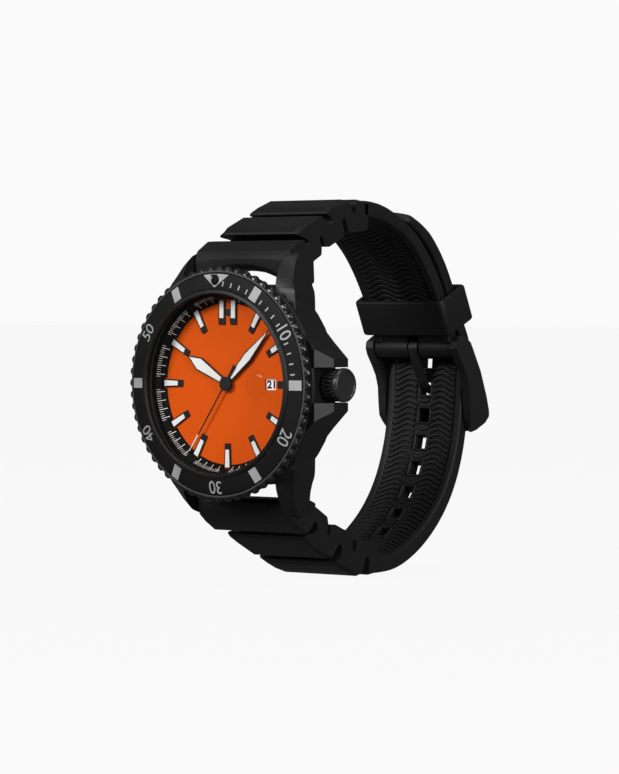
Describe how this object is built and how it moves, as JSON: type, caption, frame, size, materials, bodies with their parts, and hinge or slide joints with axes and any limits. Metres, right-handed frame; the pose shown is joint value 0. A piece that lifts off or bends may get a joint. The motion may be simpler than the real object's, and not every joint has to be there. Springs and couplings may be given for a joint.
{
  "type": "dive watch",
  "caption": "Diver's wristwatch with an orange dial, a turning black bezel and a buckled ribbed rubber strap.",
  "frame": {"origin": "centre of the case back's flat outer face", "axes": "+Z towards 12 o'clock, +X towards the crown at 3 o'clock, the dial faces -Y and the strap loop reaches towards +Y"},
  "size_m": [0.0447, 0.0697, 0.0689],
  "materials": {
    "coated_steel": "black coated steel, satin",
    "case_back_steel": "brushed",
    "bezel_inlay": "matte black anodised, grey scale",
    "black_trim": "black gloss",
    "hands_black": "black with white luminous inlay",
    "sapphire": "polished clear",
    "dial_orange": "matte orange with black minute track",
    "date_white": "printed white",
    "strap_rubber": "moulded matte black",
    "seal_rubber": "black",
    "buckle_black": "satin black",
    "steel": "plain",
    "wheel_brass": "plain",
    "coil_copper": "enamelled copper wire",
    "board_green": "green board",
    "movement_plastic": "white"
  },
  "bodies": {
    "case": {"mid_case": "coated_steel", "case_back": "case_back_steel", "case_back_gasket": "seal_rubber", "crystal": "sapphire", "crystal_gasket": "seal_rubber", "date_magnifier": "sapphire", "chapter_ring": "black_trim", "dial": "dial_orange", "hour_index_01": "hands_black", "hour_index_02": "hands_black", "hour_index_03": "hands_black", "hour_index_04": "hands_black", "hour_index_05": "hands_black", "hour_index_06": "hands_black", "hour_index_07": "hands_black", "hour_index_08": "hands_black", "hour_index_09": "hands_black", "hour_index_10": "hands_black", "hour_index_11": "hands_black", "hour_index_12": "hands_black", "main_plate": "steel", "train_bridge": "steel", "circuit_board": "board_green", "coil": "coil_copper", "battery": "steel", "movement_ring": "movement_plastic", "crown_tube": "steel", "spring_bar_12": "steel", "spring_bar_6": "steel", "bezel_retaining_wire": "steel", "bezel_click_spring": "steel"},
    "bezel": {"bezel_ring": "coated_steel", "bezel_insert": "bezel_inlay", "bezel_pip": "black_trim"},
    "minute_arbor": {"centre_wheel": "wheel_brass", "minute_hand": "hands_black"},
    "hour_arbor": {"hour_wheel": "wheel_brass", "hour_hand": "hands_black"},
    "second_arbor": {"second_wheel": "wheel_brass", "second_hand": "hands_black"},
    "third_arbor": {"third_wheel": "wheel_brass"},
    "minute_works": {"minute_wheel": "wheel_brass"},
    "date_ring": {"date_disc": "date_white"},
    "clutch": {"clutch_pinion": "steel"},
    "crown_stem": {"crown": "coated_steel", "crown_gasket": "seal_rubber"},
    "strap_twelve": {"strap_short": "strap_rubber", "buckle_bar": "buckle_black"},
    "strap_six": {"strap_long": "strap_rubber"},
    "strap_keeper": {"keeper": "strap_rubber"},
    "buckle": {"buckle_frame": "buckle_black"},
    "tongue": {"buckle_tongue": "buckle_black"}
  },
  "joints": [
    {"name": "bezel_turn", "type": "hinge", "parent": "case", "child": "bezel", "pos_m": [0, -0.0096, 0], "axis": [0, 1, 0], "continuous": true},
    {"name": "minute_turn", "type": "hinge", "parent": "case", "child": "minute_arbor", "pos_m": [0, -0.005, 0], "axis": [0, 1, 0], "continuous": true},
    {"name": "hour_turn", "type": "hinge", "parent": "case", "child": "hour_arbor", "pos_m": [0, -0.007, 0], "axis": [0, 1, 0], "continuous": true},
    {"name": "second_turn", "type": "hinge", "parent": "case", "child": "second_arbor", "pos_m": [0, -0.004, 0], "axis": [0, 1, 0], "continuous": true},
    {"name": "third_turn", "type": "hinge", "parent": "case", "child": "third_arbor", "pos_m": [-0.00382, -0.004, 0.00382], "axis": [0, 1, 0], "continuous": true},
    {"name": "minute_works_turn", "type": "hinge", "parent": "case", "child": "minute_works", "pos_m": [-0.00109, -0.007, -0.00301], "axis": [0, 1, 0], "continuous": true},
    {"name": "date_turn", "type": "hinge", "parent": "case", "child": "date_ring", "pos_m": [0, -0.007, 0], "axis": [0, 1, 0], "continuous": true},
    {"name": "crown_turn", "type": "hinge", "parent": "case", "child": "clutch", "pos_m": [0.01, -0.0041, 0], "axis": [1, 0, 0], "continuous": true},
    {"name": "crown_pull", "type": "slide", "parent": "clutch", "child": "crown_stem", "axis": [1, 0, 0], "range_m": [0, 0.0016]},
    {"name": "keeper_slide", "type": "slide", "parent": "strap_twelve", "child": "strap_keeper", "axis": [0, 0.4124, -0.911], "range_m": [-0.001, 0.0006]},
    {"name": "strap_twelve_swing", "type": "hinge", "parent": "case", "child": "strap_twelve", "pos_m": [0, -0.0029, 0.0218], "axis": [1, 0, 0], "range_deg": [-0.2, 0.2]},
    {"name": "strap_six_swing", "type": "hinge", "parent": "case", "child": "strap_six", "pos_m": [0, -0.0029, -0.0218], "axis": [1, 0, 0], "range_deg": [-0.2, 0.2]},
    {"name": "buckle_play", "type": "hinge", "parent": "strap_twelve", "child": "buckle", "pos_m": [0, 0.0477, 0.0059], "axis": [1, 0, 0], "range_deg": [-0.8, 0.6]},
    {"name": "tongue_play", "type": "hinge", "parent": "strap_twelve", "child": "tongue", "pos_m": [0, 0.0477, 0.0059], "axis": [1, 0, 0], "range_deg": [-0.3, 0.3]}
  ],
  "couplings": [
    {"joint": "hour_turn", "follows": "minute_turn", "ratio": 0.083333},
    {"joint": "third_turn", "follows": "minute_turn", "ratio": -8},
    {"joint": "second_turn", "follows": "minute_turn", "ratio": 60},
    {"joint": "minute_works_turn", "follows": "minute_turn", "ratio": -0.33333},
    {"joint": "date_turn", "follows": "minute_turn", "ratio": 0.0013441},
    {"joint": "strap_six_swing", "follows": "strap_twelve_swing", "ratio": 1}
  ]
}
